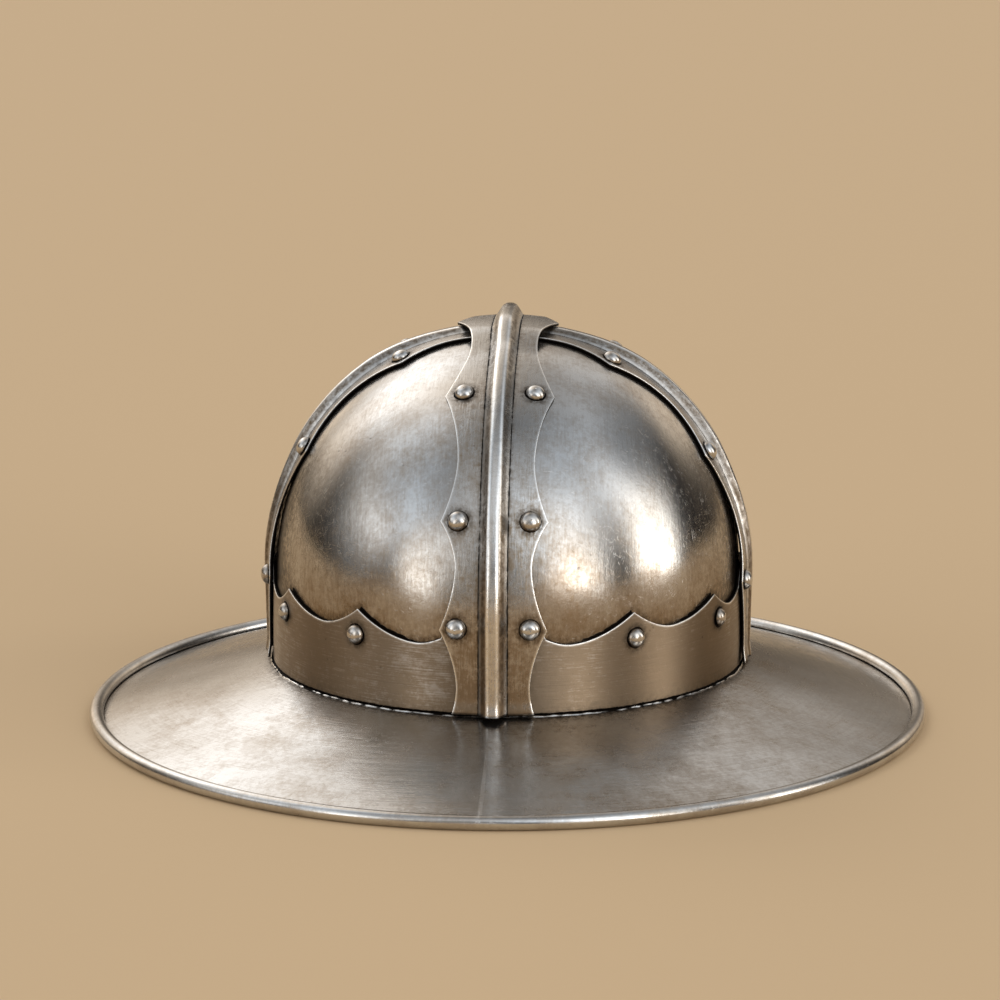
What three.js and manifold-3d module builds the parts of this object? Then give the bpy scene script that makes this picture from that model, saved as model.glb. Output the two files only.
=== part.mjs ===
// Kettle hat of riveted sheet steel, in millimetres.
// The front faces -Y, +Z is up, and the rolled edge of the brim stands on z = 0.
// Left and right are the wearer's, so the left side is at +X.

import * as THREE from "three";
import Module from "manifold-3d";
import { mergeVertices } from "three/addons/utils/BufferGeometryUtils.js";

const wasm = await Module();
wasm.setup();

// Sheets and fits
const plateThickness = 1.2;
const bandThickness = 1.2;
const brimThickness = 1.4;
const seatGap = 0.3; // between two sheets that lie on each other

// Crown, measured to the inner face of its four plates
const crownWidth = 195.4;
const crownLength = 219.6;
const wallHeight = 34.9; // upright part above the foot of the crown
const domeHeight = 103.6; // rounded part above the wall
const domeFullness = 2.09; // 2 makes a half ellipse, more makes fuller shoulders
const plateSeam = 8; // open seam between two plates, under a band's ridge
const plateTop = 8.8; // from the crown's middle to the top edge of a plate

// Brim
const brimWidth = 358.4;
const brimLength = 400.8;
const brimDrop = 25; // from the foot of the crown down to the floor
const beadDiameter = 6; // rolled edge
const brimBend = 2; // height of the bend between the neck and the brim
const neckMargin = 3.8; // sheet left on the neck above its rivets

// Bands over the crown
const bandWaist = 28.6; // width between two points of the edge
const bandPoints = 42.6; // width at the points of the edge
const ridgeWidth = 10.6; // raised ridge, across its foot
const crestWidth = 4.2;
const foreAftRidge = 5;
const sideRidge = 4;
const sideRidgeFoot = 1.3; // height of a side ridge at the brim
const sideRidgeRun = 95; // along which it grows from there to its full height
const sideRidgeTop = 2.4; // height of a side ridge where it passes under the fore-and-aft band
const sideRidgeTaper = 40; // along which it lowers to that
const joggleLength = 45; // along which a band comes down from the brow band to the plates
const crossingClimb = 22; // along which the fore-and-aft band climbs over the side bands
const footFlare = 0.8; // by which a band's foot stands off the brow band
const footFlareHeight = 7;
const tongueClearance = 2; // between a side band's end and the ridge over it

// Brow band
const browHeight = 39.2; // up to the points of its upper edge
const browTabHeight = 42; // under the bands
const browTabMargin = 2.6; // sheet of a tab beyond its rivet

// Rivets
const rivetHeadDiameter = 8.5;
const rivetHeadHeight = 3.2;
const rivetShoulder = { out: 0.72, up: 0.68 }; // shares of the head's radius and height
const rivetShank = 3;
const rivetHole = 3.6;
const rivetTailDiameter = 5.6;
const rivetTailHeight = 1.1;
const rivetSpread = 28.4; // across a band, centre to centre

// Edge of the fore-and-aft band from its foot to the top of the crown.
// along is a share of that length, reach goes from 0 at a waist to 1 at a point.
const foreAftEdge = [
  { along: 0.0, reach: 0.25 },
  { along: 0.055, reach: 0.0 },
  { along: 0.172, reach: 0.95 },
  { along: 0.293, reach: 0.1 },
  { along: 0.388, reach: 1.0 },
  { along: 0.514, reach: 0.15 },
  { along: 0.683, reach: 1.1 },
  { along: 0.876, reach: -0.15 },
  { along: 1.0, reach: 0.85 },
];
const foreAftRivets = [0.176, 0.387, 0.685];

// Edge of a side band, in the same shares.
const sideEdge = [
  { along: 0.0, reach: 0.25 },
  { along: 0.055, reach: 0.0 },
  { along: 0.188, reach: 0.95 },
  { along: 0.333, reach: 0.1 },
  { along: 0.48, reach: 1.0 },
  { along: 0.62, reach: 0.1 },
  { along: 0.768, reach: 1.0 },
  { along: 0.885, reach: 0.0 },
  { along: 1.0, reach: 0.0 },
];
const sideRivets = [0.188, 0.48, 0.768];

// Upper edge of the brow band between the front band and a side band.
// along is a share of that stretch, reach is a share of the brow band's height.
const browEdge = [
  { along: 0.0, reach: 0.8 },
  { along: 0.084, reach: 0.73 },
  { along: 0.33, reach: 1.0 },
  { along: 0.503, reach: 0.79 },
  { along: 0.748, reach: 0.98 },
  { along: 0.886, reach: 0.8 },
  { along: 1.0, reach: 0.89 },
];
const browRivets = [
  { along: 0.336, reach: 0.73 },
  { along: 0.779, reach: 0.71 },
];
const edgeHollow = 1.8; // how hollow the edges are between two points, 1 is straight

// Facets
const brimSides = 44;
const plateColumns = 8;
const plateRows = 7;
const bandStep = 12; // longest facet along a band
const browSteps = 3; // facets between two rows of the brow band's edge
const rivetSides = 8;
const holeSides = 6;
const rollInnerSides = 3;
const rollOuterSides = 5;
const outlineSteps = 240; // for measuring lengths over the crown

// Layers, as distances outwards from the plates' inner face
const halfWidth = crownWidth / 2;
const halfLength = crownLength / 2;
const sagOf = (turn) => halfLength * (1 - Math.cos(turn / 2)); // depth of a flat facet inside its curve
const columnSag = sagOf(Math.PI / 2 / plateColumns);
const plateSag = columnSag + sagOf(Math.PI / 2 / plateRows);
const brimSag = sagOf((2 * Math.PI) / brimSides);
const bandSag = sagOf(bandStep / halfWidth);
const neckOuter = -(seatGap + columnSag);
const neckInner = neckOuter - brimThickness;
const onPlates = plateThickness + seatGap + bandSag;
const onBand = onPlates + bandThickness + seatGap + bandSag;
const onSideRidge = onBand + sideRidgeTop;
const plateFoot = brimBend + seatGap;

const steelPlate = new THREE.MeshStandardMaterial({ color: 0x9a958c, roughness: 0.34, metalness: 1 });
const steelBand = new THREE.MeshStandardMaterial({ color: 0x8c8479, roughness: 0.4, metalness: 1 });
const steelBrim = new THREE.MeshStandardMaterial({ color: 0x938c82, roughness: 0.32, metalness: 1 });
const steelRivet = new THREE.MeshStandardMaterial({ color: 0xa6a199, roughness: 0.26, metalness: 1 });

// Solids

function solidOf(geometry) {
  const shape = geometry.index ? geometry.clone() : geometry;
  shape.deleteAttribute("normal");
  shape.deleteAttribute("uv");
  const merged = mergeVertices(shape, 1e-4);
  const corners = Array.from(merged.index.array);
  const triangles = [];
  for (let i = 0; i < corners.length; i += 3) {
    const [a, b, c] = corners.slice(i, i + 3);
    if (a !== b && b !== c && c !== a) {
      triangles.push(a, b, c);
    }
  }
  const points = merged.attributes.position.array;
  if (signedVolume(points, triangles) < 0) {
    triangles.reverse();
  }
  return new wasm.Manifold(new wasm.Mesh({
    numProp: 3,
    vertProperties: Float32Array.from(points),
    triVerts: Uint32Array.from(triangles),
  }));
}

function signedVolume(points, triangles) {
  const [a, b, c] = [new THREE.Vector3(), new THREE.Vector3(), new THREE.Vector3()];
  let sum = 0;
  for (let i = 0; i < triangles.length; i += 3) {
    a.fromArray(points, 3 * triangles[i]);
    b.fromArray(points, 3 * triangles[i + 1]);
    c.fromArray(points, 3 * triangles[i + 2]);
    sum += a.dot(b.cross(c)) / 6;
  }
  return sum;
}

function meshOf(name, solid, material) {
  const made = solid.getMesh();
  const geometry = new THREE.BufferGeometry();
  geometry.setAttribute("position", new THREE.BufferAttribute(made.vertProperties, 3));
  geometry.setIndex(new THREE.BufferAttribute(made.triVerts, 1));
  geometry.computeVertexNormals();
  const mesh = new THREE.Mesh(geometry, material);
  mesh.name = name;
  return mesh;
}

// A closed skin over a row of sections, each a loop of points.
// Point k of a section faces point count - 1 - k across the sheet, which closes the two ends.
function loft(sections, endless) {
  const count = sections[0].length;
  const positions = sections.flat().flatMap((point) => point.toArray());
  const index = [];
  const quad = (a, b, c, d) => index.push(a, b, c, a, c, d);
  const spans = endless ? sections.length : sections.length - 1;
  for (let i = 0; i < spans; i += 1) {
    const here = i * count;
    const next = ((i + 1) % sections.length) * count;
    for (let k = 0; k < count; k += 1) {
      const after = (k + 1) % count;
      quad(here + k, next + k, next + after, here + after);
    }
  }
  if (!endless) {
    const last = (sections.length - 1) * count;
    for (let k = 0; k < count / 2 - 1; k += 1) {
      const across = count - 1 - k;
      quad(k, k + 1, across - 1, across);
      quad(last + k, last + across, last + across - 1, last + k + 1);
    }
  }
  const geometry = new THREE.BufferGeometry();
  geometry.setAttribute("position", new THREE.Float32BufferAttribute(positions, 3));
  geometry.setIndex(index);
  return solidOf(geometry);
}

// Crown surface, with its foot at z = 0

// How far the crown reaches out at a height, 1 at the wall and 0 at the top.
function crownReach(rise) {
  const climb = Math.min(Math.max((rise - wallHeight) / domeHeight, 0), 1);
  return (1 - climb ** domeFullness) ** (1 / domeFullness);
}

function crownPoint(azimuth, rise) {
  const reach = crownReach(rise);
  return new THREE.Vector3(
    halfWidth * reach * Math.sin(azimuth),
    -halfLength * reach * Math.cos(azimuth),
    rise,
  );
}

// Level is 0 on the surface and grows outwards, slope is its gradient.
function crownLevel(point) {
  const plan = Math.max(Math.hypot(point.x / halfWidth, point.y / halfLength), 1e-6);
  const climb = Math.max((point.z - wallHeight) / domeHeight, 0);
  const sum = plan ** domeFullness + climb ** domeFullness;
  const planSlope = plan ** (domeFullness - 2);
  const slope = new THREE.Vector3(
    (planSlope * point.x) / halfWidth ** 2,
    (planSlope * point.y) / halfLength ** 2,
    climb ** (domeFullness - 1) / domeHeight,
  );
  slope.multiplyScalar(sum ** (1 / domeFullness - 1));
  return { level: sum ** (1 / domeFullness) - 1, slope };
}

function crownNormal(point) {
  return crownLevel(point).slope.normalize();
}

function lifted(point, lift) {
  return crownNormal(point).multiplyScalar(lift).add(point);
}

// Heights and reaches along the crown's outline, with the length up to each.
function outlineOf(halfSpan) {
  const rows = [{ length: 0, out: halfSpan, rise: 0 }];
  for (let i = 0; i <= outlineSteps; i += 1) {
    const turn = (Math.PI / 2) * (i / outlineSteps);
    const out = halfSpan * Math.cos(turn) ** (2 / domeFullness);
    const rise = wallHeight + domeHeight * Math.sin(turn) ** (2 / domeFullness);
    const before = rows[rows.length - 1];
    const length = before.length + Math.hypot(out - before.out, rise - before.rise);
    rows.push({ length, out: i === outlineSteps ? 0 : out, rise });
  }
  return rows;
}

function onOutline(rows, length) {
  let i = 1;
  while (i < rows.length - 1 && rows[i].length < length) {
    i += 1;
  }
  const [low, high] = [rows[i - 1], rows[i]];
  const share = (length - low.length) / (high.length - low.length);
  return {
    out: low.out + share * (high.out - low.out),
    rise: low.rise + share * (high.rise - low.rise),
  };
}

function lengthAtRise(rows, rise) {
  let i = 1;
  while (i < rows.length - 1 && rows[i].rise < rise) {
    i += 1;
  }
  const [low, high] = [rows[i - 1], rows[i]];
  return low.length + ((rise - low.rise) / (high.rise - low.rise)) * (high.length - low.length);
}

// Shapes of the edges

function smooth(share) {
  const t = Math.min(Math.max(share, 0), 1);
  return t * t * (3 - 2 * t);
}

// Reach of a cusped edge, hollow between each low row and the next high one.
function edgeReach(rows, along) {
  let i = 1;
  while (i < rows.length - 1 && rows[i].along < along) {
    i += 1;
  }
  const [before, after] = [rows[i - 1], rows[i]];
  const share = (along - before.along) / (after.along - before.along);
  const rising = after.reach > before.reach;
  const [low, high] = rising ? [before.reach, after.reach] : [after.reach, before.reach];
  const fromLow = Math.min(Math.max(rising ? share : 1 - share, 0), 1);
  return low + (high - low) * fromLow ** edgeHollow;
}

function bandHalf(rows, along) {
  return (bandWaist + edgeReach(rows, along) * (bandPoints - bandWaist)) / 2;
}

// Sorted stops with no step between them longer than the given one.
function stationsOf(stops, step) {
  const sorted = [...stops].sort((a, b) => a - b);
  const stations = [sorted[0]];
  for (const stop of sorted.slice(1)) {
    const last = stations[stations.length - 1];
    const gap = stop - last;
    if (gap > step / 10) {
      const parts = Math.max(Math.round(gap / step), 1);
      for (let k = 1; k <= parts; k += 1) {
        stations.push(last + (gap * k) / parts);
      }
    }
  }
  return stations;
}

// Bands

const foreAftOutline = outlineOf(halfLength);
const sideOutline = outlineOf(halfWidth);
const foreAftHalf = foreAftOutline[foreAftOutline.length - 1].length;
const sideHalf = sideOutline[sideOutline.length - 1].length;
const earHalf = bandHalf(foreAftEdge, 1); // half width of the fore-and-aft band on the very top
const tongueHalf = bandHalf(sideEdge, 1); // half width of the side bands under it
const tongueEnd = ridgeWidth / 2 + tongueClearance;
const joggleFoot = browTabHeight + seatGap;

// A point of a band's sheet, found by dropping a point beside the middle line onto the crown.
function bandPoint(outline, heading, length, across, lift) {
  const middle = onOutline(outline, length);
  const base = heading.clone().multiplyScalar(middle.out);
  base.z = middle.rise;
  const drop = crownNormal(base);
  const point = base.addScaledVector(new THREE.Vector3(-heading.y, heading.x, 0), across);
  for (let i = 0; i < 8; i += 1) {
    const { level, slope } = crownLevel(point);
    point.addScaledVector(drop, -level / slope.dot(drop));
  }
  return { point, lifted: lifted(point, lift) };
}

// Section across a band: the outer face from edge to edge, then the inner face back.
function bandSection(outline, heading, length, half, lift, ridge) {
  const foot = ridgeWidth / 2;
  const crest = crestWidth / 2;
  const wall = bandThickness / 2;
  const bend = (2 * foot + half) / 3;
  const outer = [
    [-half, 0], [-bend, 0], [-foot, 0], [-crest, ridge],
    [crest, ridge], [foot, 0], [bend, 0], [half, 0],
  ];
  const inner = outer.map(([across, rise]) => {
    const onRidge = Math.abs(across) <= foot;
    return [across - (onRidge ? Math.sign(across) * wall : 0), rise];
  });
  const at = ([across, rise], layer) => bandPoint(outline, heading, length, across, layer + rise).lifted;
  return [
    ...outer.map((place) => at(place, lift + bandThickness)),
    ...inner.reverse().map((place) => at(place, lift)),
  ];
}

function footLift(outline, length) {
  const stepDown = (length - lengthAtRise(outline, joggleFoot)) / joggleLength;
  const flare = footFlare * (1 - smooth(length / footFlareHeight));
  return onBand - (onBand - onPlates) * smooth(stepDown) + flare;
}

// The fore-and-aft band also climbs over the ends of the side bands at the top.
function foreAftLift(length) {
  const fromTop = foreAftHalf - length;
  const climb = 1 - smooth((fromTop - tongueHalf - seatGap) / crossingClimb);
  return Math.max(footLift(foreAftOutline, length), onPlates + (onSideRidge - onPlates) * climb);
}

// A side ridge grows from its foot, and lowers again before it passes under the fore-and-aft band.
function sideRidgeAt(length) {
  const fromFoot = sideRidgeFoot + (sideRidge - sideRidgeFoot) * Math.min(length / sideRidgeRun, 1);
  const past = sideHalf - earHalf - length;
  return Math.min(fromFoot, sideRidgeTop + (sideRidge - sideRidgeTop) * smooth(past / sideRidgeTaper));
}

const footRise = 2 * seatGap;
const joggleStops = (outline) => {
  const start = lengthAtRise(outline, joggleFoot);
  return [start, start + joggleLength / 2, start + joggleLength];
};

function foreAftBand() {
  const top = foreAftHalf;
  const crossing = [tongueHalf + seatGap, tongueHalf + seatGap + crossingClimb];
  const stops = [
    footRise, footFlareHeight, ...joggleStops(foreAftOutline),
    ...crossing.map((fromTop) => top - fromTop), top,
    ...foreAftEdge.slice(1, -1).map((row) => row.along * top),
  ];
  const lengths = stationsOf(stops, bandStep);
  const sectionAt = (length, heading) => bandSection(
    foreAftOutline, heading, length, bandHalf(foreAftEdge, length / top), foreAftLift(length), foreAftRidge,
  );
  const front = lengths.map((length) => sectionAt(length, new THREE.Vector3(0, -1, 0)));
  const rear = lengths.slice(0, -1).reverse().map((length) => {
    const section = sectionAt(length, new THREE.Vector3(0, 1, 0));
    const half = section.length / 2;
    return [...section.slice(0, half).reverse(), ...section.slice(half).reverse()];
  });
  return loft([...front, ...rear], false);
}

function sideBand(side) {
  const end = sideHalf - tongueEnd;
  const ear = sideHalf - earHalf;
  const stops = [
    footRise, footFlareHeight, ...joggleStops(sideOutline), sideRidgeRun, ear - sideRidgeTaper, ear, end,
    ...sideEdge.slice(1, -1).map((row) => row.along * sideHalf),
  ];
  const heading = new THREE.Vector3(side, 0, 0);
  return loft(stationsOf(stops, bandStep).map((length) => bandSection(
    sideOutline, heading, length, bandHalf(sideEdge, length / sideHalf),
    footLift(sideOutline, length), sideRidgeAt(length),
  )), false);
}

// Brow band

const browFront = Math.asin(bandHalf(foreAftEdge, foreAftEdge[2].along) / (halfWidth + onPlates));
const browSide = Math.acos(bandHalf(sideEdge, sideEdge[2].along) / (halfLength + onPlates));
const tabHalf = rivetSpread / 2 + browTabMargin;
const tabFront = Math.asin(tabHalf / (halfWidth + onPlates));
const tabSide = Math.acos(tabHalf / (halfLength + onPlates));

function browAzimuth(along) {
  return browFront + along * (browSide - browFront);
}

// Upper edge over one quarter, from the middle of the front to the middle of a side.
const browQuarter = [
  { azimuth: 0, rise: browTabHeight },
  { azimuth: tabFront / 2, rise: browTabHeight },
  { azimuth: tabFront, rise: browTabHeight },
  ...browEdge.slice(0, -1).flatMap((row, i) => {
    const next = browEdge[i + 1];
    return Array.from({ length: browSteps }, (_, k) => {
      const along = row.along + (k / browSteps) * (next.along - row.along);
      return { azimuth: browAzimuth(along), rise: browHeight * edgeReach(browEdge, along) };
    });
  }),
  { azimuth: browSide, rise: browHeight * browEdge[browEdge.length - 1].reach },
  { azimuth: tabSide, rise: browTabHeight },
  { azimuth: (tabSide + Math.PI / 2) / 2, rise: browTabHeight },
];

function allRound(quarter) {
  const sideMiddle = { ...quarter[quarter.length - 1], azimuth: Math.PI / 2 };
  const toRear = [...quarter].reverse().map((row) => ({ ...row, azimuth: Math.PI - row.azimuth }));
  const left = [...quarter, sideMiddle, ...toRear];
  const right = left.slice(1, -1).map((row) => ({ ...row, azimuth: -row.azimuth })).reverse();
  return [...left, ...right];
}

function browBand() {
  return loft(allRound(browQuarter).map(({ azimuth, rise }) => {
    const [low, high] = [crownPoint(azimuth, seatGap), crownPoint(azimuth, rise)];
    const outerLift = onPlates + bandThickness;
    return [lifted(low, outerLift), lifted(high, outerLift), lifted(high, onPlates), lifted(low, onPlates)];
  }), true);
}

// Plates

// One quarter of the crown, with its side edges parallel to the seams.
function plate(side, end) {
  const seam = plateSeam / 2;
  const foot = lengthAtRise(sideOutline, wallHeight);
  const top = sideHalf - plateTop;
  const rises = [plateFoot, wallHeight];
  for (let i = 1; i <= plateRows; i += 1) {
    rises.push(onOutline(sideOutline, foot + ((top - foot) * i) / plateRows).rise);
  }
  return loft(rises.map((rise) => {
    const reach = crownReach(rise);
    const first = Math.asin(seam / (halfWidth * reach));
    const last = Math.acos(seam / (halfLength * reach));
    const row = Array.from({ length: plateColumns + 1 }, (_, k) => {
      const point = crownPoint(first + ((last - first) * k) / plateColumns, rise);
      return point.multiply(new THREE.Vector3(side, end, 1));
    });
    return [
      ...row.map((point) => lifted(point, plateThickness)),
      ...row.reverse().map((point) => lifted(point, 0)),
    ];
  }), false);
}

// Brim, with the neck inside the plates and the edge rolled up and over

const beadRadius = beadDiameter / 2;
const brimSlope = Math.atan2(brimDrop, (brimWidth - crownWidth) / 2);
const rollInside = beadRadius - brimThickness;
const rollClosing = Math.acos((rollInside - seatGap) / beadRadius);
const rollEnd = 1.5 * Math.PI - brimSlope - rollClosing;
const neckRise = browHeight * Math.max(...browRivets.map((row) => row.reach)) + neckMargin;

function brim() {
  const start = -Math.PI / 2 - brimSlope;
  const arc = (radius, from, to, parts) => Array.from({ length: parts + 1 }, (_, k) => {
    const turn = from + ((to - from) * k) / parts;
    return [radius * Math.cos(turn), radius * Math.sin(turn)];
  });
  const bearing = beadRadius * Math.sin(brimSlope);
  const roll = [
    ...arc(rollInside, start, rollEnd, rollInnerSides),
    ...arc(beadRadius, rollEnd, -Math.PI / 4, rollOuterSides),
    [bearing, -beadRadius],
    [-bearing, -beadRadius],
  ];
  const neck = [[neckInner, neckRise], [neckOuter, neckRise], [neckOuter, brimBend], [onPlates, 0]];
  const underNeck = [[onPlates - brimThickness / 2, -brimThickness], [neckInner, brimBend - brimThickness]];
  const sections = [];
  for (let i = 0; i < brimSides; i += 1) {
    const azimuth = (2 * Math.PI * i) / brimSides;
    const nearCrown = ([lift, rise]) => {
      const point = lifted(crownPoint(azimuth, Math.max(rise, 0)), lift);
      return point.setZ(rise + brimDrop);
    };
    const nearEdge = ([out, up]) => new THREE.Vector3(
      (brimWidth / 2 - beadRadius + out) * Math.sin(azimuth),
      -(brimLength / 2 - beadRadius + out) * Math.cos(azimuth),
      beadRadius + up,
    );
    sections.push([...neck.map(nearCrown), ...roll.map(nearEdge), ...underNeck.map(nearCrown)]);
  }
  return loft(sections, true);
}

// Rivets

// Profile from the inner end to the head, with the outer face of the sheets at height 0.
function rivetGeometry(stack, innerGap) {
  const inner = -stack - innerGap;
  const headRadius = rivetHeadDiameter / 2;
  const profile = [
    [0, inner - rivetTailHeight],
    [rivetTailDiameter / 2, inner],
    [rivetShank / 2, inner],
    [rivetShank / 2, seatGap],
    [headRadius, seatGap],
    [rivetShoulder.out * headRadius, seatGap + rivetShoulder.up * rivetHeadHeight],
    [0, seatGap + rivetHeadHeight],
  ];
  return new THREE.LatheGeometry(profile.map(([out, up]) => new THREE.Vector2(out, up)), rivetSides);
}

// Where a rivet goes in: its place on the plates' inner face, its direction and the sheets it holds.
function rivetSeat(name, point, outerLift, innerLift, innerSag) {
  return { name, point, normal: crownNormal(point), outerLift, innerLift, innerGap: seatGap + innerSag };
}

const ends = [{ end: -1, name: "front" }, { end: 1, name: "rear" }];
const sides = [{ side: 1, name: "left" }, { side: -1, name: "right" }];

const seats = [];
for (const { end, name: endName } of ends) {
  for (const { side, name: sideName } of sides) {
    const across = rivetSpread / 2;
    foreAftRivets.forEach((along, i) => {
      const length = along * foreAftHalf;
      const heading = new THREE.Vector3(0, end, 0);
      const { point } = bandPoint(foreAftOutline, heading, length, -side * end * across, 0);
      const name = `rivet_${endName}_band_${sideName}_${i + 1}`;
      seats.push(rivetSeat(name, point, foreAftLift(length) + bandThickness, 0, plateSag));
    });
    sideRivets.forEach((along, i) => {
      const length = along * sideHalf;
      const heading = new THREE.Vector3(side, 0, 0);
      const { point } = bandPoint(sideOutline, heading, length, side * end * across, 0);
      const name = `rivet_${sideName}_band_${endName}_${i + 1}`;
      seats.push(rivetSeat(name, point, footLift(sideOutline, length) + bandThickness, 0, plateSag));
    });
    browRivets.forEach((row, i) => {
      const point = crownPoint(browAzimuth(row.along), browHeight * row.reach);
      point.multiply(new THREE.Vector3(side, -end, 1));
      const name = `rivet_brow_${endName}_${sideName}_${i + 1}`;
      seats.push(rivetSeat(name, point, onPlates + bandThickness, neckInner, brimSag));
    });
  }
}

const latheAxis = new THREE.Vector3(0, 1, 0);
const drillLength = 4 * rivetHeadDiameter;
const drills = seats.map(({ point, normal }) => {
  const drill = new THREE.CylinderGeometry(rivetHole / 2, rivetHole / 2, drillLength, holeSides);
  drill.applyQuaternion(new THREE.Quaternion().setFromUnitVectors(latheAxis, normal));
  drill.translate(point.x, point.y, point.z);
  return solidOf(drill);
});

function drilled(solid, cutters = drills) {
  return cutters.reduce((rest, cutter) => rest.subtract(cutter), solid);
}

// Assembly

const kettleHat = new THREE.Group();
const crown = new THREE.Group();
crown.position.z = brimDrop;
kettleHat.add(crown);

const brimDrills = drills.map((drill) => drill.translate([0, 0, brimDrop]));
kettleHat.add(meshOf("brim", drilled(brim(), brimDrills), steelBrim));

crown.add(meshOf("brow_band", drilled(browBand()), steelBand));
crown.add(meshOf("fore_aft_band", drilled(foreAftBand()), steelBand));
for (const { side, name: sideName } of sides) {
  crown.add(meshOf(`side_band_${sideName}`, drilled(sideBand(side)), steelBand));
  for (const { end, name: endName } of ends) {
    crown.add(meshOf(`plate_${endName}_${sideName}`, drilled(plate(side, -end)), steelPlate));
  }
}

for (const { name, point, normal, outerLift, innerLift, innerGap } of seats) {
  const rivet = meshOf(name, solidOf(rivetGeometry(outerLift - innerLift, innerGap)), steelRivet);
  rivet.position.copy(point).addScaledVector(normal, outerLift);
  rivet.quaternion.setFromUnitVectors(latheAxis, normal);
  crown.add(rivet);
}

export default kettleHat;
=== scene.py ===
import math

import bpy
import numpy as np
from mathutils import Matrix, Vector, kdtree


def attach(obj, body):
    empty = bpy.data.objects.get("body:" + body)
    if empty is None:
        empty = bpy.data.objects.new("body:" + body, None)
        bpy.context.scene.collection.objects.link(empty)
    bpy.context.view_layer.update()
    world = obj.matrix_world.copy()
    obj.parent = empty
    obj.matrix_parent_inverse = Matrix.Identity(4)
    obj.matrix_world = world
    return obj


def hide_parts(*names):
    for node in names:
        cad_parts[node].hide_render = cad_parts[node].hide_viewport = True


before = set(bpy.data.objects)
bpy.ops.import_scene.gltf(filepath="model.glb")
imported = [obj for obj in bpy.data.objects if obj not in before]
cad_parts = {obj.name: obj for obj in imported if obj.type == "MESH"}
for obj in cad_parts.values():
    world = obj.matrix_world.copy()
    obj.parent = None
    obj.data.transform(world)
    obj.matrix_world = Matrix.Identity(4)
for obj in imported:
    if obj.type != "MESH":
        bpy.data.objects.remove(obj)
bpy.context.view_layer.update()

# Kettle hat of riveted sheet steel. Sizes are in millimetres, meshes are made in metres.
# The front faces -Y, +Z is up, and the rolled edge of the brim stands on z = 0.
MM = 0.001

# Sheets and fits
PLATE = 1.2
BAND = 1.2
BRIM = 1.4
SEAT = 0.3

# Crown, to the inner face of its plates
HALF_WIDTH = 195.4 / 2
HALF_LENGTH = 219.6 / 2
WALL_HEIGHT = 34.9
DOME_HEIGHT = 103.6
FULLNESS = 2.09
PLATE_SEAM = 8
PLATE_TOP = 8.8
ON_PLATES = 1.71
ON_BAND = 3.41
ON_SIDE_RIDGE = 5.81

# Brim
BRIM_HALF_WIDTH = 358.4 / 2
BRIM_HALF_LENGTH = 400.8 / 2
BRIM_DROP = 25
BEAD_RADIUS = 3
BRIM_BEND = 2
NECK_OUTER = -0.83
NECK_RISE = 32.4

# Bands
WAIST = 28.6
POINTS = 42.6
RIDGE_FOOT = 5.3
RIDGE_CREST = 2.1
FORE_AFT_RIDGE = 5
SIDE_RIDGE = 4
SIDE_RIDGE_FOOT = 1.3
SIDE_RIDGE_RUN = 95
SIDE_RIDGE_TOP = 2.4
SIDE_RIDGE_TAPER = 40
JOGGLE = 45
CROSSING_CLIMB = 22
FLARE = 0.8
FLARE_HEIGHT = 7
TONGUE_CLEARANCE = 2
BROW_HEIGHT = 39.2
TAB_HEIGHT = 42
TAB_MARGIN = 2.6

# Rivets
RIVET_RADIUS = 4.25
RIVET_RISE = 3.2
RIVET_SHANK = 1.5
RIVET_TAIL = 2.8
RIVET_TAIL_RISE = 1.1
RIVET_SPREAD = 28.4

# Edges: share of the length, and reach from 0 at a waist to 1 at a point
FORE_AFT_EDGE = np.array([
    (0.0, 0.25), (0.055, 0.0), (0.172, 0.95), (0.293, 0.1), (0.388, 1.0),
    (0.514, 0.15), (0.683, 1.1), (0.876, -0.15), (1.0, 0.85),
])
SIDE_EDGE = np.array([
    (0.0, 0.25), (0.055, 0.0), (0.188, 0.95), (0.333, 0.1), (0.48, 1.0),
    (0.62, 0.1), (0.768, 1.0), (0.885, 0.0), (1.0, 0.0),
])
BROW_EDGE = np.array([
    (0.0, 0.8), (0.084, 0.73), (0.33, 1.0), (0.503, 0.79), (0.748, 0.98), (0.886, 0.8), (1.0, 0.89),
])
FORE_AFT_RIVETS = (0.176, 0.387, 0.685)
SIDE_RIVETS = (0.188, 0.48, 0.768)
BROW_RIVETS = ((0.336, 0.73), (0.779, 0.71))
HOLLOW = 1.8

STEP = 1.2  # between two sections of a band
EDGE = 0.3  # rounding of the outer edges of the sheets
CREST = 2.7  # rounding of the ridges
THIN_SHADOW_LINE = 0.42  # painted shadow line beside a sheet's edge
WIDE_SHADOW_LINE = 1.25

# Camera, where the photograph was taken from
CAMERA_AT = (107.5, -1956.0, 483.0)
CAMERA_AIM = (-3.6, 2.1, 91.4)
CAMERA_LENS = 168.4


# Crown surface, with its foot at z = 0

def crown_reach(rise):
    climb = np.clip((rise - WALL_HEIGHT) / DOME_HEIGHT, 0, 1)
    return (1 - climb ** FULLNESS) ** (1 / FULLNESS)


def crown_point(azimuth, rise):
    azimuth, rise = np.broadcast_arrays(np.asarray(azimuth, float), np.asarray(rise, float))
    reach = crown_reach(rise)
    x = HALF_WIDTH * reach * np.sin(azimuth)
    y = -HALF_LENGTH * reach * np.cos(azimuth)
    return np.stack([x, y, rise], -1)


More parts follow.
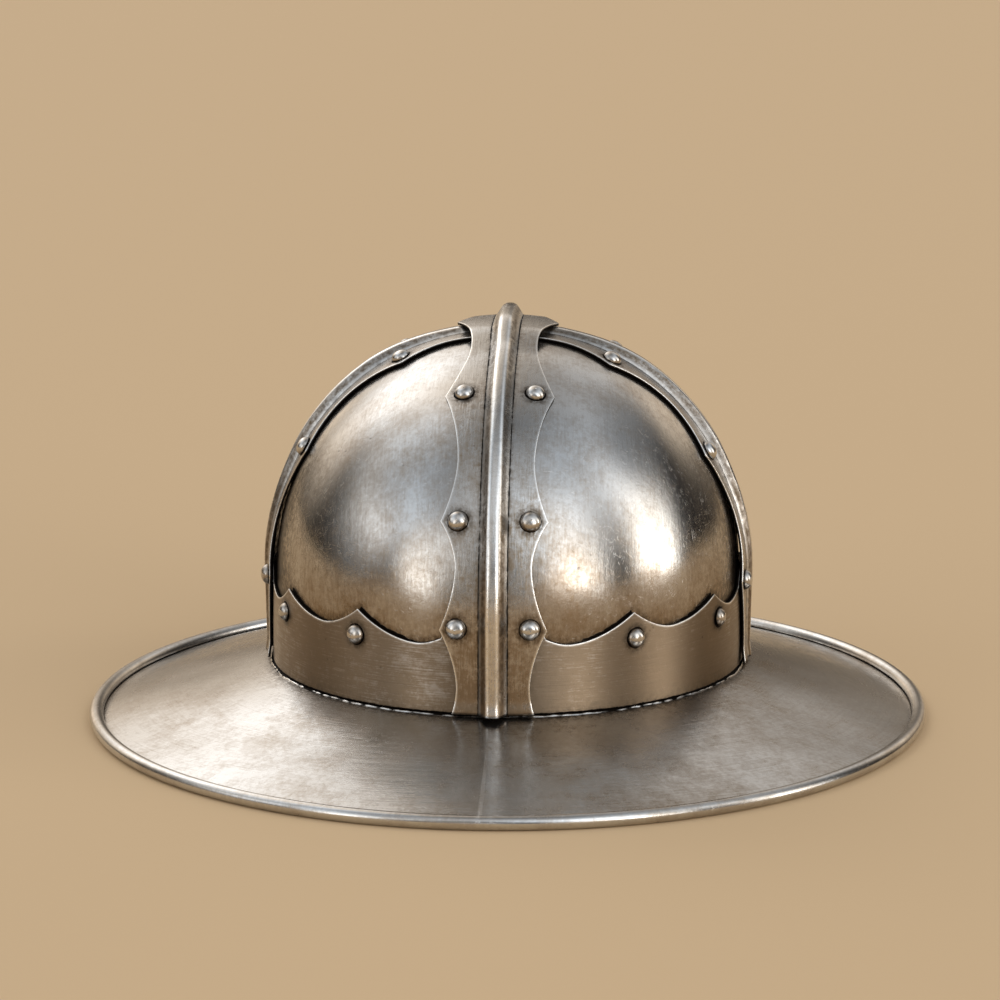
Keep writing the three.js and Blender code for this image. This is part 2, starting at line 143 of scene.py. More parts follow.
def crown_level(points):
    """0 on the surface, growing outwards, and its gradient."""
    x, y, z = np.moveaxis(points, -1, 0)
    plan = np.maximum(np.hypot(x / HALF_WIDTH, y / HALF_LENGTH), 1e-6)
    climb = np.maximum((z - WALL_HEIGHT) / DOME_HEIGHT, 0)
    total = plan ** FULLNESS + climb ** FULLNESS
    lean = plan ** (FULLNESS - 2)
    slope = np.stack([
        lean * x / HALF_WIDTH ** 2,
        lean * y / HALF_LENGTH ** 2,
        climb ** (FULLNESS - 1) / DOME_HEIGHT,
    ], -1) * (total ** (1 / FULLNESS - 1))[..., None]
    return total ** (1 / FULLNESS) - 1, slope


def crown_normal(points):
    slope = crown_level(points)[1]
    return slope / np.linalg.norm(slope, axis=-1, keepdims=True)


def lifted(points, lift):
    return points + crown_normal(points) * np.asarray(lift, float)[..., None]


class Outline:
    """Height and reach along the crown's outline, by length from its foot."""

    def __init__(self, half_span):
        turn = np.linspace(0, math.pi / 2, 1500)
        out = half_span * np.maximum(np.cos(turn), 0) ** (2 / FULLNESS)
        rise = WALL_HEIGHT + DOME_HEIGHT * np.sin(turn) ** (2 / FULLNESS)
        self.out = np.concatenate([[half_span], out])
        self.out[-1] = 0
        self.rise = np.concatenate([[0], rise])
        steps = np.hypot(np.diff(self.out), np.diff(self.rise))
        self.length = np.concatenate([[0], np.cumsum(steps)])
        self.total = self.length[-1]

    def at(self, length):
        return np.interp(length, self.length, self.out), np.interp(length, self.length, self.rise)

    def length_at(self, rise):
        return np.interp(rise, self.rise, self.length)


def smooth(share):
    t = np.clip(share, 0, 1)
    return t * t * (3 - 2 * t)


def edge_reach(rows, along):
    """Reach of a cusped edge, hollow between a low row and the next high one."""
    along = np.asarray(along, float)
    i = np.clip(np.searchsorted(rows[:, 0], along, side="left"), 1, len(rows) - 1)
    before, after = rows[i - 1], rows[i]
    share = np.clip((along - before[..., 0]) / (after[..., 0] - before[..., 0]), 0, 1)
    rising = after[..., 1] > before[..., 1]
    low = np.minimum(before[..., 1], after[..., 1])
    high = np.maximum(before[..., 1], after[..., 1])
    return low + (high - low) * np.where(rising, share, 1 - share) ** HOLLOW


def band_half(rows, along):
    return (WAIST + edge_reach(rows, along) * (POINTS - WAIST)) / 2


def fine_stops(stops, step):
    """Sorted stops, filled in so that none lie further apart than the step."""
    stops = sorted(stops)
    parts = [[stops[0]]]
    for low, high in zip(stops, stops[1:]):
        if high - low > 1e-6:
            count = max(int(math.ceil((high - low) / step)), 1)
            parts.append(np.linspace(low, high, count + 1)[1:])
    return np.concatenate(parts)


FORE_AFT = Outline(HALF_LENGTH)
SIDE = Outline(HALF_WIDTH)
EAR_HALF = float(band_half(FORE_AFT_EDGE, 1))
TONGUE_HALF = float(band_half(SIDE_EDGE, 1))
JOGGLE_FOOT = TAB_HEIGHT + SEAT


def foot_lift(outline, length):
    step_down = (length - outline.length_at(JOGGLE_FOOT)) / JOGGLE
    flare = FLARE * (1 - smooth(length / FLARE_HEIGHT))
    return ON_BAND - (ON_BAND - ON_PLATES) * smooth(step_down) + flare


def fore_aft_lift(length):
    from_top = FORE_AFT.total - length
    climb = 1 - smooth((from_top - TONGUE_HALF - SEAT) / CROSSING_CLIMB)
    return np.maximum(foot_lift(FORE_AFT, length), ON_PLATES + (ON_SIDE_RIDGE - ON_PLATES) * climb)


def side_ridge_at(length):
    from_foot = SIDE_RIDGE_FOOT + (SIDE_RIDGE - SIDE_RIDGE_FOOT) * np.minimum(length / SIDE_RIDGE_RUN, 1)
    past = SIDE.total - EAR_HALF - length
    near_top = SIDE_RIDGE_TOP + (SIDE_RIDGE - SIDE_RIDGE_TOP) * smooth(past / SIDE_RIDGE_TAPER)
    return np.minimum(from_foot, near_top)


def on_sheet(outline, heading, length, across):
    """A place on the crown beside a band's middle line."""
    out, rise = outline.at(length)
    heading = np.asarray(heading, float)
    beside = np.array([-heading[1], heading[0], 0])
    out, rise, across = np.broadcast_arrays(out, rise, across)
    points = heading * out[..., None]
    points[..., 2] = rise
    drop = crown_normal(points)
    points = points + beside * across[..., None]
    for _ in range(8):
        level, slope = crown_level(points)
        fall = np.sum(slope * drop, -1)
        points = points - drop * (level / fall)[..., None]
    return points


# Paths and skins

def rounded(corners, arc_steps, closed=True):
    """Loop through corners (x, y, radius, parts of the stretch after it), with tangent arcs."""
    count = len(corners)
    path = []
    arcs = []
    for i, (x, y, radius, _) in enumerate(corners):
        here = np.array([x, y])
        before = np.array(corners[i - 1][:2])
        after = np.array(corners[(i + 1) % count][:2])
        back, onward = before - here, after - here
        back_length, onward_length = np.linalg.norm(back), np.linalg.norm(onward)
        back, onward = back / max(back_length, 1e-9), onward / max(onward_length, 1e-9)
        half = math.acos(float(np.clip(back @ onward, -1, 1))) / 2
        bisector = back + onward
        if radius <= 0 or np.linalg.norm(bisector) < 1e-5:
            arcs.append(np.repeat(here[None], arc_steps + 1, 0))
            continue
        tangent = min(radius / math.tan(half), 0.48 * back_length, 0.48 * onward_length)
        start, end = here + back * tangent, here + onward * tangent
        share = np.linspace(0, 1, arc_steps + 1)[:, None]
        reach = tangent * math.tan(half)
        centre = here + bisector / np.linalg.norm(bisector) * (reach / math.sin(half))
        arc = start + (end - start) * share - centre
        bend = math.pi - 2 * half
        turn = np.linspace(-bend / 2, bend / 2, arc_steps + 1)
        middle = here - centre
        middle = middle / max(np.linalg.norm(middle), 1e-9)
        spin = 1 if np.cross(arc[0], arc[-1]) > 0 else -1
        rotated = np.stack([
            middle[0] * np.cos(spin * turn) - middle[1] * np.sin(spin * turn),
            middle[0] * np.sin(spin * turn) + middle[1] * np.cos(spin * turn),
        ], -1)
        arcs.append(centre + rotated * reach)
    for i in range(count if closed else count - 1):
        path.append(arcs[i])
        start, end = arcs[i][-1], arcs[(i + 1) % count][0]
        parts = corners[i][3]
        share = 0.5 - 0.5 * np.cos(np.pi * np.arange(1, parts) / parts)
        path.append(start + (end - start) * share[:, None])
    if not closed:
        path.append(arcs[-1])
    return np.concatenate(path)


def skin(name, sections, ends, attributes):
    """Smooth closed mesh over sections, each a loop of points, given in millimetres.

    The ends are joined to each other ("ring"), closed by a strip ("strip") or by a point ("pole").
    """
    endless = ends == "ring"
    rows, loop = sections.shape[:2]
    spans = rows if endless else rows - 1
    i = np.arange(spans)[:, None] * loop
    following = (np.arange(spans)[:, None] + 1) % rows * loop
    k = np.arange(loop)[None, :]
    after = (k + 1) % loop
    quads = np.stack([i + k, following + k, following + after, i + after], -1).reshape(-1, 4)
    points = sections.reshape(-1, 3)
    if ends == "strip":
        k = np.arange(loop // 2 - 1)
        across = loop - 1 - k
        last = (rows - 1) * loop
        first_cap = np.stack([k, k + 1, across - 1, across], -1)
        last_cap = np.stack([last + k, last + across, last + across - 1, last + k + 1], -1)
        quads = np.concatenate([quads, first_cap, last_cap])
    a, b, c, d = (points[quads[:, n]] for n in range(4))
    volume = np.sum(np.cross(b - a, c - a) * a) + np.sum(np.cross(c - a, d - a) * a)
    if volume < 0:
        quads = quads[:, ::-1]
    faces = quads.tolist()
    if ends == "pole":
        poles = [rows * loop, rows * loop + 1]
        points = np.concatenate([points, sections[0].mean(0)[None], sections[-1].mean(0)[None]])
        way = 1 if volume < 0 else -1
        for pole, first, turn in ((poles[0], 0, way), (poles[1], (rows - 1) * loop, -way)):
            faces += [[pole, first + k, first + (k + turn) % loop] for k in range(loop)]
    mesh = bpy.data.meshes.new(name)
    mesh.from_pydata((points * MM).tolist(), [], faces)
    mesh.polygons.foreach_set("use_smooth", [True] * len(faces))
    for key, values in attributes.items():
        values = np.ascontiguousarray(values, np.float32)
        if ends == "pole":
            flat = values.reshape(rows * loop, *values.shape[2:])
            values = np.concatenate([flat, values[0].mean(0)[None], values[-1].mean(0)[None]])
            values = values[:, None]
        if values.ndim == 3:
            layer = mesh.attributes.new(key, "FLOAT_VECTOR", "POINT")
            layer.data.foreach_set("vector", values.ravel())
        else:
            layer = mesh.attributes.new(key, "FLOAT", "POINT")
            layer.data.foreach_set("value", values.ravel())
    mesh.update()
    piece = bpy.data.objects.new(name, mesh)
    bpy.context.scene.collection.objects.link(piece)
    return piece


def dress(piece, node, material):
    piece.data.materials.append(material)
    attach(piece, "root")
    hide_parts(node)
    return piece


def wave_field(seed, wavelength, count=14):
    """Smooth random unevenness of a hand-worked sheet, about -1 to 1."""
    random = np.random.default_rng(seed)
    heading = random.normal(size=(count, 3))
    heading /= np.linalg.norm(heading, axis=1, keepdims=True)
    pace = 2 * math.pi / (wavelength * random.uniform(0.7, 1.5, count))
    phase = random.uniform(0, 2 * math.pi, count)

    def field(points):
        total = np.zeros(points.shape[:-1])
        for way, rate, start in zip(heading, pace, phase):
            total += np.sin(points @ way * rate + start)
        return total / math.sqrt(count)

    return field


def nearest(points, targets):
    """Distance from each point to the nearest target, and that target's number."""
    tree = kdtree.KDTree(len(targets))
    for i, target in enumerate(targets):
        tree.insert(target, i)
    tree.balance()
    found = [tree.find(point)[1:] for point in points.reshape(-1, 3)]
    number, distance = (np.array(column).reshape(points.shape[:-1]) for column in zip(*found))
    return distance, number


# Rivet seats: name, place on the plates' inner face, and lift of the sheet's outer face

SEATS = []
SIDES = ((1, "left"), (-1, "right"))
ENDS = ((-1, "front"), (1, "rear"))
BROW_FRONT = math.asin(float(band_half(FORE_AFT_EDGE, 0.172)) / (HALF_WIDTH + ON_PLATES))
BROW_SIDE = math.acos(float(band_half(SIDE_EDGE, 0.188)) / (HALF_LENGTH + ON_PLATES))

for end, end_name in ENDS:
    for side, side_name in SIDES:
        across = RIVET_SPREAD / 2
        for i, along in enumerate(FORE_AFT_RIVETS):
            length = along * FORE_AFT.total
            place = on_sheet(FORE_AFT, (0, end, 0), length, -side * end * across)
            lift = float(fore_aft_lift(length)) + BAND
            SEATS.append((f"rivet_{end_name}_band_{side_name}_{i + 1}", place, lift, 0))
        for i, along in enumerate(SIDE_RIVETS):
            length = along * SIDE.total
            place = on_sheet(SIDE, (side, 0, 0), length, side * end * across)
            lift = float(foot_lift(SIDE, length)) + BAND
            SEATS.append((f"rivet_{side_name}_band_{end_name}_{i + 1}", place, lift, 0))
        for i, (along, reach) in enumerate(BROW_RIVETS):
            azimuth = BROW_FRONT + along * (BROW_SIDE - BROW_FRONT)
            place = crown_point(azimuth, BROW_HEIGHT * reach) * (side, -end, 1)
            inner = NECK_OUTER - BRIM
            SEATS.append((f"rivet_brow_{end_name}_{side_name}_{i + 1}", place, ON_PLATES + BAND, inner))

RIVET_SPOTS = np.array([lifted(place, lift) for _, place, lift, _ in SEATS])


def rivet_gap(points):
    """Distance from the nearest rivet's head."""
    return np.maximum(nearest(points, RIVET_SPOTS)[0] - RIVET_RADIUS, -1)


# Painted contact shadow, with stains, fading out around each rivet's head
def rivet_dirt_and_shadow(points):
    return 0.5 * np.exp(-((np.maximum(rivet_gap(points), 0) / 2.6) ** 2))


# Bands

def band_sections(outline, heading, lengths, halves, lifts, ridges, flip=1):
    """Sections across a band, with the places across and the height in the sheet of each point."""
    wall = BAND / 2
    paths = []
    for half, ridge in zip(halves, ridges):
        blend = min(ridge / 2, 1)
        foot, crest = RIDGE_FOOT, RIDGE_CREST
        paths.append(rounded([
            (-half, BAND, EDGE, 12), (-foot, BAND, 0.4 * blend, 4), (-crest, BAND + ridge, CREST * blend, 2),
            (crest, BAND + ridge, CREST * blend, 4), (foot, BAND, 0.4 * blend, 12), (half, BAND, EDGE, 2),
            (half, 0, 0.2, 12), (foot - wall, 0, 0.5 * blend, 4), (crest - wall, ridge, 0.8 * blend, 3),
            (wall - crest, ridge, 0.8 * blend, 4), (wall - foot, 0, 0.5 * blend, 12), (-half, 0, 0.2, 2),
        ], 5))
    paths = np.array(paths)
    across, height = paths[..., 0], paths[..., 1]
    places = on_sheet(outline, heading, lengths[:, None], across * flip)
    return lifted(places, lifts[:, None] + height), across, height


def edge_highlight_wear_and_shade(inward, down):
    """Painted highlight along a sheet's arris, with wear, and painted shade on its cut face, with stains, by
    distance from its outer edge.
    """
    wear_and_highlight = np.exp(-((inward - 0.16) / 0.42) ** 2) * np.clip(1 - (down - 0.1) / 0.16, 0, 1)
    cut = np.clip((down - 0.24) / 0.1, 0, 1) * (inward < 0.12)
    return wear_and_highlight, cut


def band_attributes(sections, across, height, halves, ridges, run):
    """Stains with painted shade, wear with painted highlights, grain and painted shadow lines over a band's
    sections. A seam value is above 0 inside its painted shadow line.
    """
    beside = np.abs(across)
    half = halves[:, None]
    ridge = ridges[:, None]
    outside = height > BAND - 0.45
    wear_and_highlight, cut = edge_highlight_wear_and_shade(half - beside, BAND - height)
    foot = np.abs(beside - RIDGE_FOOT)
    raised = outside * np.clip(ridge, 0, 1)
    # Painted shade in the crease at the ridge's foot and on the ridge's flanks
    crease = np.exp(-foot / 1.2) * raised
    flank = np.clip((RIDGE_FOOT - beside) / 1.2, 0, 1) * np.clip((beside - RIDGE_CREST) / 1.0, 0, 1)
    # Painted highlight along the ridge's foot
    foot_highlight = np.exp(-((beside - RIDGE_FOOT + 0.3) / 0.26) ** 2) * raised
    # Painted shadow line along the ridge's foot, and a painted contact shadow ring around each rivet
    seam = np.maximum((0.26 - np.abs(beside - RIDGE_FOOT - 0.3)) * raised, 0.3 - rivet_gap(sections))
    # Painted highlight along the ridge's crest
    crest = 0.4 + 0.5 * np.exp(-((beside - RIDGE_CREST + 0.3) / 0.45) ** 2)
    crest = crest * (beside < RIDGE_CREST + 0.2) * (ridge > 1) * (height > BAND + 0.75 * ridge)
    # Painted shade in the crease and on the flanks, painted contact shadow with stains around the rivets, darker
    # near the edges and right at the crown's foot
    dirt_and_shade = np.maximum.reduce([
        0.6 * crease, 0.4 * flank * (height > BAND), rivet_dirt_and_shadow(sections),
        0.16 * np.exp(-(half - beside) / 1.6) * outside,
        0.45 * np.exp(-np.maximum(sections[..., 2], 0) / 4),
    ])
    grain = np.stack([np.broadcast_to(run[:, None], across.shape), across, height], -1)
    return {
        "dirt_and_shade": dirt_and_shade, "wear_and_highlight": np.clip(wear_and_highlight + 0.7 * foot_highlight + crest, 0, 1), "cut": cut, "grain": grain,
        "seam": seam,
    }


def rise_to_foot(sections):
    sections[..., 2] += BRIM_DROP
    return sections


def fore_aft_lengths():
    top = FORE_AFT.total
    start = FORE_AFT.length_at(JOGGLE_FOOT)
    crossing = TONGUE_HALF + SEAT
    stops = [2 * SEAT, FLARE_HEIGHT, start, start + JOGGLE, top - crossing - CROSSING_CLIMB, top - crossing, top]
    stops += [along * top for along in FORE_AFT_EDGE[1:-1, 0]]
    return fine_stops(stops, STEP)


def make_fore_aft_band(material):
    lengths = fore_aft_lengths()
    halves = band_half(FORE_AFT_EDGE, lengths / FORE_AFT.total)
    lifts = fore_aft_lift(lengths)
    ridges = np.full(len(lengths), float(FORE_AFT_RIDGE))
    front, across, height = band_sections(FORE_AFT, (0, -1, 0), lengths, halves, lifts, ridges)
    rear, _, _ = band_sections(FORE_AFT, (0, 1, 0), lengths, halves, lifts, ridges, flip=-1)
    joined = np.concatenate([front, rear[-2::-1]])
    both = [np.concatenate([rows, rows[-2::-1]]) for rows in (across, height, halves, ridges)]
    run = np.concatenate([lengths, 2 * FORE_AFT.total - lengths[-2::-1]])
    attributes = band_attributes(joined, *both, run)
    name = "fore_aft_band"
    return dress(skin(name + "_steel", rise_to_foot(joined), "strip", attributes), name, material)


def make_side_band(side, side_name, material):
    ear = SIDE.total - EAR_HALF
    end = SIDE.total - RIDGE_FOOT - TONGUE_CLEARANCE
    start = SIDE.length_at(JOGGLE_FOOT)
    stops = [
        2 * SEAT, FLARE_HEIGHT, start, start + JOGGLE, SIDE_RIDGE_RUN, ear - SIDE_RIDGE_TAPER, ear, end,
    ]
    stops += [along * SIDE.total for along in SIDE_EDGE[1:-1, 0]]
    lengths = fine_stops([stop for stop in stops if stop <= end], STEP)
    halves = band_half(SIDE_EDGE, lengths / SIDE.total)
    ridges = side_ridge_at(lengths)
    lifts = foot_lift(SIDE, lengths)
    sections, across, height = band_sections(SIDE, (side, 0, 0), lengths, halves, lifts, ridges)
    attributes = band_attributes(sections, across, height, halves, ridges, lengths)
    name = f"side_band_{side_name}"
    return dress(skin(name + "_steel", rise_to_foot(sections), "strip", attributes), name, material)


def edge_line(outline, heading, rows, lift):
    """Points along both edges of a band, for the painted shade, painted shadow lines and darkening beside them."""
    lengths = np.arange(0, outline.total, 0.8)
    halves = band_half(rows, lengths / outline.total)
    both = [on_sheet(outline, heading, lengths, way * halves) for way in (-1, 1)]
    return lifted(np.concatenate(both), np.full(2 * len(lengths), lift))


# Brow band

def brow_rise(azimuth):
    """Height of the brow band's upper edge at an azimuth."""
    turn = np.abs((azimuth + math.pi) % (2 * math.pi) - math.pi)
    quarter = np.minimum(turn, math.pi - turn)
    tab = RIVET_SPREAD / 2 + TAB_MARGIN
    tab_front = math.asin(tab / (HALF_WIDTH + ON_PLATES))
    tab_side = math.acos(tab / (HALF_LENGTH + ON_PLATES))
    along = (quarter - BROW_FRONT) / (BROW_SIDE - BROW_FRONT)
    edge = BROW_HEIGHT * edge_reach(BROW_EDGE, np.clip(along, 0, 1))
    at_front = np.interp(quarter, [tab_front, BROW_FRONT], [TAB_HEIGHT, BROW_HEIGHT * BROW_EDGE[0, 1]])
    at_side = np.interp(quarter, [BROW_SIDE, tab_side], [BROW_HEIGHT * BROW_EDGE[-1, 1], TAB_HEIGHT])
    return np.where(quarter < BROW_FRONT, at_front, np.where(quarter > BROW_SIDE, at_side, edge))


def brow_line():
    """Points along the upper edge, and the width of the painted shadow line over each, wide where it faces an end.
    """
    azimuth = np.linspace(-math.pi, math.pi, 1600, endpoint=False)
    rise = brow_rise(azimuth)
    outwards = np.sign(np.sin(2 * azimuth))
    climbing = np.gradient(rise, azimuth) * outwards / HALF_WIDTH
    width = THIN_SHADOW_LINE + (WIDE_SHADOW_LINE - THIN_SHADOW_LINE) * smooth(climbing / 0.25)
    return crown_point(azimuth, rise), width


def make_brow_band(material):
    quarter = [0.0, math.pi / 2, BROW_FRONT, BROW_SIDE]
    quarter += [BROW_FRONT + along * (BROW_SIDE - BROW_FRONT) for along in BROW_EDGE[1:-1, 0]]
    half = quarter + [math.pi - turn for turn in quarter]
    stops = half + [-turn for turn in half]
    azimuths = fine_stops(stops, STEP / HALF_WIDTH)[:-1]
    rises = brow_rise(azimuths)
    paths = np.array([
        rounded([
            (ON_PLATES + BAND, SEAT, 0.3, 30), (ON_PLATES + BAND, rise, EDGE, 2),
            (ON_PLATES, rise, 0.2, 10), (ON_PLATES, SEAT, 0.2, 2),
        ], 5)
        for rise in rises
    ])
    lift, rise = paths[..., 0], paths[..., 1]
    sections = lifted(crown_point(azimuths[:, None], rise), lift)
    top = rises[:, None]
    outside = lift > ON_PLATES + BAND - 0.45
    wear_and_highlight, cut = edge_highlight_wear_and_shade(top - rise, ON_PLATES + BAND - lift)
    thin = [edge_line(FORE_AFT, (0, way, 0), FORE_AFT_EDGE, ON_BAND) for way in (-1, 1)]
    wide = [edge_line(SIDE, (way, 0, 0), SIDE_EDGE, ON_BAND) for way in (-1, 1)]
    lines = np.concatenate(thin + wide)
    widths = np.repeat([THIN_SHADOW_LINE, WIDE_SHADOW_LINE], [sum(map(len, thin)), sum(map(len, wide))])
    beside, line = nearest(sections, lines)
    # Painted shadow lines below the edges of the bands laid over it, around each rivet and along its foot
    seam = np.maximum.reduce([widths[line] - beside, 0.3 - rivet_gap(sections), 0.8 - rise])
    # Painted shade beside the bands laid over it, painted contact shadow with stains around the rivets, darker
    # towards its foot and near its upper edge
    dirt_and_shade = np.maximum.reduce([
        0.3 * np.exp(-beside / 3.5), rivet_dirt_and_shadow(sections),
        0.5 * np.exp(-(rise - SEAT) / 1.6) * outside, 0.3 * np.exp(-(rise - SEAT) / 6) * outside,
        0.14 * np.exp(-(top - rise) / 2.0) * outside,
    ])
    grain = np.stack([np.broadcast_to(azimuths[:, None] * HALF_WIDTH, lift.shape), rise, lift], -1)
    attributes = {"dirt_and_shade": dirt_and_shade, "wear_and_highlight": wear_and_highlight, "cut": cut, "grain": grain, "seam": seam}
    name = "brow_band"
    return dress(skin(name + "_steel", rise_to_foot(sections), "ring", attributes), name, material)


# Plates

def make_plate(side, end, name, uneven, material):
    columns, rows = 150, 124
    seam = PLATE_SEAM / 2
    foot = SIDE.length_at(WALL_HEIGHT)
    top = SIDE.total - PLATE_TOP
    low = np.linspace(BRIM_BEND + SEAT, WALL_HEIGHT, 22)[:-1]
    rises = np.concatenate([low, SIDE.at(np.linspace(foot, top, rows))[1]])
    reach = crown_reach(rises)
    first = np.arcsin(seam / (HALF_WIDTH * reach))
    last = np.arccos(seam / (HALF_LENGTH * reach))
    share = np.linspace(0, 1, columns)
    azimuth = first[:, None] + (last - first)[:, None] * share
    points = crown_point(azimuth, rises[:, None]) * (side, end, 1)
    lift = 0.16 * uneven(points)
    outer = lifted(points, PLATE + lift)
    inner = lifted(points, lift)[:, ::-1]
    sections = np.concatenate([outer, inner], 1)
    brow, brow_widths = brow_line()
    lines = [
        edge_line(FORE_AFT, (0, end, 0), FORE_AFT_EDGE, ON_PLATES),
        edge_line(SIDE, (side, 0, 0), SIDE_EDGE, ON_PLATES),
        lifted(brow, np.full(len(brow), ON_PLATES)),
    ]
    widths = np.concatenate([
        np.full(len(lines[0]), THIN_SHADOW_LINE), np.full(len(lines[1]), WIDE_SHADOW_LINE), brow_widths,
    ])
    beside, line = nearest(outer, np.concatenate(lines))
    # Painted shadow line beside the edges of the bands and the brow band
    seam = widths[line] - beside
    # Painted shade over the plates' lower parts beside the side bands, stronger on the right plates
    from_side = nearest(outer, lines[1])[0]
    shade = (0.95 if side < 0 else 0.55) * np.exp(-((from_side / 26) ** 2))
    shade = shade * np.clip((106 - rises[:, None]) / 40, 0, 1)
    # Painted shade close beside the bands' edges with a wider darkening around it, plus the painted shade above
    plate_shade_and_dirt = 0.3 * np.exp(-((beside / 2.4) ** 2)) + 0.2 * np.exp(-beside / 8) + shade
    dirt_and_shade = np.concatenate([plate_shade_and_dirt, plate_shade_and_dirt[:, ::-1]], 1)
    length = np.interp(rises, SIDE.rise, SIDE.length)[:, None]
    grain = np.stack([
        np.broadcast_to(length, azimuth.shape), azimuth * 100 * reach[:, None], np.zeros_like(azimuth),
    ], -1)
    flat = np.zeros(sections.shape[:2])
    attributes = {
        "dirt_and_shade": np.clip(dirt_and_shade, 0, 1), "wear_and_highlight": flat, "cut": flat,
        "grain": np.concatenate([grain, grain[:, ::-1]], 1),
        "seam": np.concatenate([seam, seam[:, ::-1]], 1),
    }
    return dress(skin(name + "_steel", rise_to_foot(sections), "strip", attributes), name, material)


# Brim

def make_brim(material):
    azimuth = np.linspace(0, 2 * math.pi, 640, endpoint=False)
    slope = math.atan2(BRIM_DROP, BRIM_HALF_WIDTH - HALF_WIDTH)
    inside = BEAD_RADIUS - BRIM
    closing = math.acos((inside - SEAT) / BEAD_RADIUS)
    start = -math.pi / 2 - slope
    roll_end = 1.5 * math.pi - slope - closing

    def near_crown(lift, rise):
        points = lifted(crown_point(azimuth, max(rise, 0)), np.full(len(azimuth), lift))
        points[:, 2] = rise + BRIM_DROP
        return points

    def near_edge(out, up):
        return np.stack([
            (BRIM_HALF_WIDTH - BEAD_RADIUS + out) * np.sin(azimuth),
            -(BRIM_HALF_LENGTH - BEAD_RADIUS + out) * np.cos(azimuth),
            np.full(len(azimuth), BEAD_RADIUS + up),
        ], -1)

    def ring(radius, turn):
        return near_edge(radius * math.cos(turn), radius * math.sin(turn))

    neck_inner = NECK_OUTER - BRIM
    neck = rounded([
        (neck_inner, NECK_RISE, 0.3, 2), (NECK_OUTER, NECK_RISE, 0.3, 5),
        (NECK_OUTER, BRIM_BEND - 1, 1.6, 4), (ON_PLATES, 0, 0, 1),
    ], 4, closed=False)
    under = rounded([
        (ON_PLATES - BRIM / 2, -BRIM, 0, 3), (neck_inner, BRIM_BEND - BRIM - 1, 1.6, 5),
        (neck_inner, NECK_RISE, 0.3, 3),
    ], 4, closed=False)[:-5]
    columns = [near_crown(lift, rise) for lift, rise in neck]
    kinds = [("neck", 0.0)] * len(columns)
    shares = np.concatenate([np.linspace(0, 0.05, 25)[1:], np.linspace(0.05, 0.97, 31)[1:], [0.985]])
    foot, edge = columns[-1], ring(inside, start)
    for share in shares:
        columns.append(foot + (edge - foot) * share)
        kinds.append(("cone", float(share)))
    for turn in np.linspace(start, roll_end, 12):
        columns.append(ring(inside, turn))
        kinds.append(("inside", float(turn)))
    for radius in (inside + 0.25, BEAD_RADIUS - 0.3):
        columns.append(ring(radius, roll_end + 0.02))
        kinds.append(("lip", float(radius)))
    for turn in np.linspace(roll_end - 0.06, start, 24):
        columns.append(ring(BEAD_RADIUS, turn))
        kinds.append(("bead", float(turn)))
    low_foot, low_edge = near_crown(*under[0]), columns[-1]
    for share in np.linspace(0, 1, 14)[1:-1]:
        columns.append(low_edge + (low_foot - low_edge) * share)
        kinds.append(("under", float(1 - share)))
    for lift, rise in under:
        columns.append(near_crown(lift, rise))
        kinds.append(("neck", 0.0))
    sections = np.stack(columns, 1)

    sloping = np.array([kind in ("cone", "under") for kind, _ in kinds])
    place = np.array([value if kind in ("cone", "under") else 0 for kind, value in kinds])
    radial = place * float(np.linalg.norm((edge - foot)[160]))
    window = np.where(sloping, np.sin(math.pi * np.clip(place, 0, 1)) ** 0.7, 0)
    uneven = wave_field(11, 95)(sections * (1, 1, 0))
    ripple = wave_field(12, 30)(sections * (1, 1, 0))
    sections[..., 2] += (0.42 * uneven + 0.05 * ripple) * window

    # A ragged seam of filler stands along the foot of the crown
    foot_ring = sections[:, 0]
    ragged = 0.66 + 0.22 * wave_field(13, 24)(foot_ring) + 0.34 * wave_field(14, 3.2)(foot_ring)
    ragged = np.clip(ragged, 0, 1)
    top_side = np.array([kind == "cone" for kind, _ in kinds])
    drift = 0.2 * wave_field(15, 14)(foot_ring)[:, None] + 0.1 * wave_field(17, 4)(foot_ring)[:, None]
    broad = 0.2 + 0.08 * np.tanh(wave_field(16, 6)(foot_ring))[:, None]
    seam = np.exp(-((radial - 1.95 - drift) / broad) ** 2) * top_side
    sections[..., 2] += (0.25 + 0.45 * ragged[:, None]) * seam

    bead = np.array([kind == "bead" for kind, _ in kinds])
    hidden = np.array([kind in ("inside", "lip") for kind, _ in kinds])
    from_seam = np.maximum(radial - 3, 0)
    to_edge = np.maximum(float(np.linalg.norm((edge - foot)[160])) - radial - 2.2, 0)
    dirt_and_shade = np.zeros(sections.shape[:2])
    # Painted shade in the crevice at the crown's foot, with a wider darkening beyond it, painted shade in the
    # groove at the bead and on the underside, and darker inside the roll
    dirt_and_shade += (0.4 * np.exp(-from_seam / 1.6) + 0.2 * np.exp(-from_seam / 14)) * top_side
    dirt_and_shade += 0.5 * np.exp(-to_edge / 1.6) * top_side + 0.9 * hidden
    dirt_and_shade += 0.3 * (place > 0) * ~top_side * ~bead
    # The ragged filler shows bright bare metal; the bead is made a little lighter all round
    wear_and_highlight = seam * np.clip(ragged[:, None] * 1.8 - 0.5, 0, 1)
    wear_and_highlight = wear_and_highlight + 0.15 * bead
    # Painted shadow: black along the crevice at the crown's foot, except on the bright filler, and along the groove
    # at the bead
    dark = np.where(top_side, np.maximum(2.35 - radial, 0.35 - to_edge) - 1.2 * wear_and_highlight, -1.0) + np.zeros(sections.shape[:2])
    run = azimuth[:, None] * np.linspace(1, 1, sections.shape[1]) * 140
    across = np.hypot(sections[..., 0], sections[..., 1])
    grain = np.stack([run, across, np.zeros_like(across)], -1)
    attributes = {
        "dirt_and_shade": np.clip(dirt_and_shade * (1 - wear_and_highlight), 0, 1), "wear_and_highlight": np.clip(wear_and_highlight, 0, 1),
        "cut": np.zeros(sections.shape[:2]), "grain": grain, "seam": dark,
    }
    return dress(skin("brim_steel", sections, "ring", attributes), "brim", material)


# Rivets

